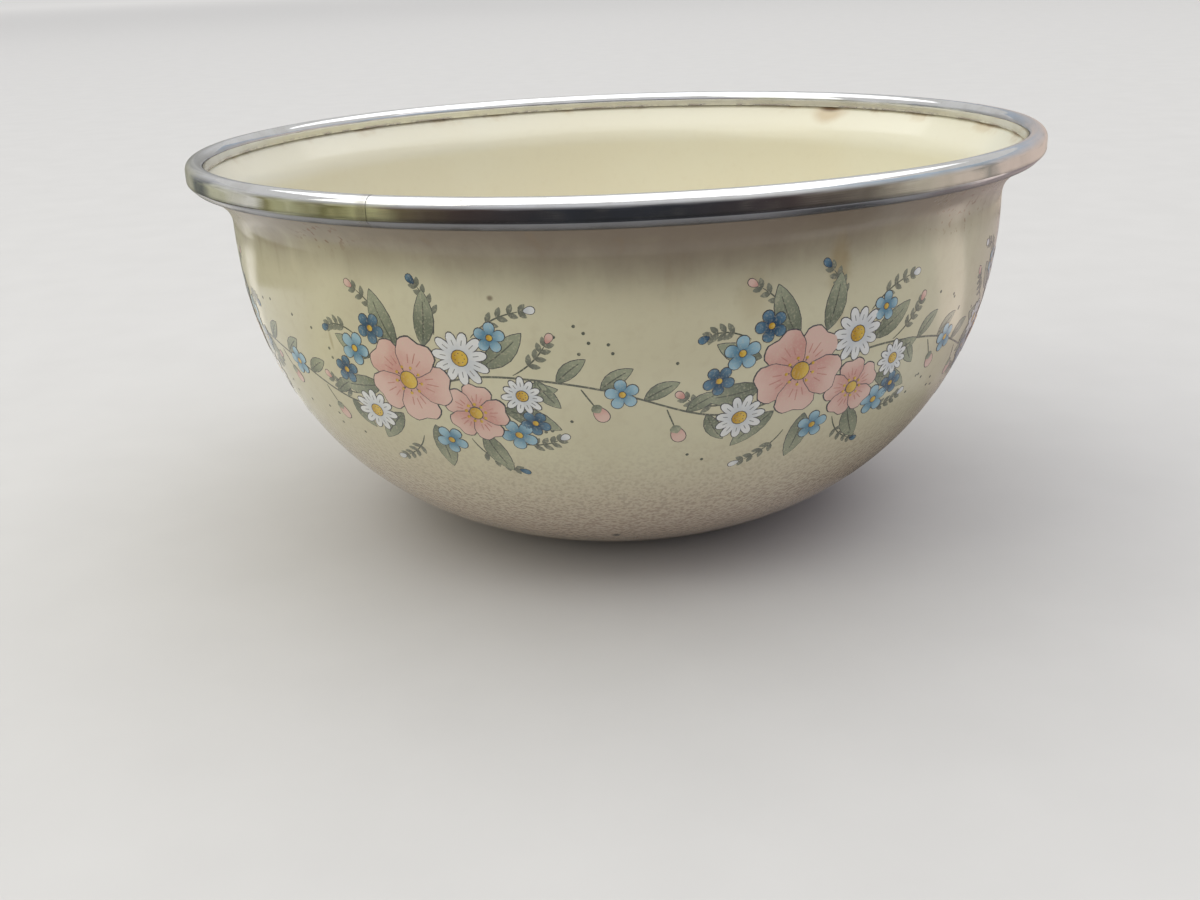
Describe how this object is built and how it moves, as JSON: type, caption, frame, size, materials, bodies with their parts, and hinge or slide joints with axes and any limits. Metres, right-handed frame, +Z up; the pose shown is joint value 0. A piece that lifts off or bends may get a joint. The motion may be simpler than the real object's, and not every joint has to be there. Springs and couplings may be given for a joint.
{
  "type": "mixing bowl",
  "caption": "Deep round enamelled steel mixing bowl with a flared lip, a crimped stainless rim band and a flat ring foot.",
  "frame": {"origin": "centre of the foot, on the surface that the bowl stands on", "axes": "+Z up along the axis of the bowl, -Y towards the viewer of the pictured side"},
  "size_m": [0.22, 0.22, 0.1012],
  "materials": {
    "ivory_enamel": "glossy fired enamel with a fine orange peel, slightly aged ivory, printed flowers",
    "sheet_steel": "plain pressed sheet, covered by the enamel",
    "cream_enamel": "glossy fired enamel, smooth, yellowed cream",
    "stainless_band": "polished stainless strip with fine scratches and a little rust at its edges"
  },
  "bodies": {
    "root": {"outer_enamel": "ivory_enamel", "steel_shell": "sheet_steel", "inner_enamel": "cream_enamel", "rim_band": "stainless_band"}
  },
  "joints": []
}
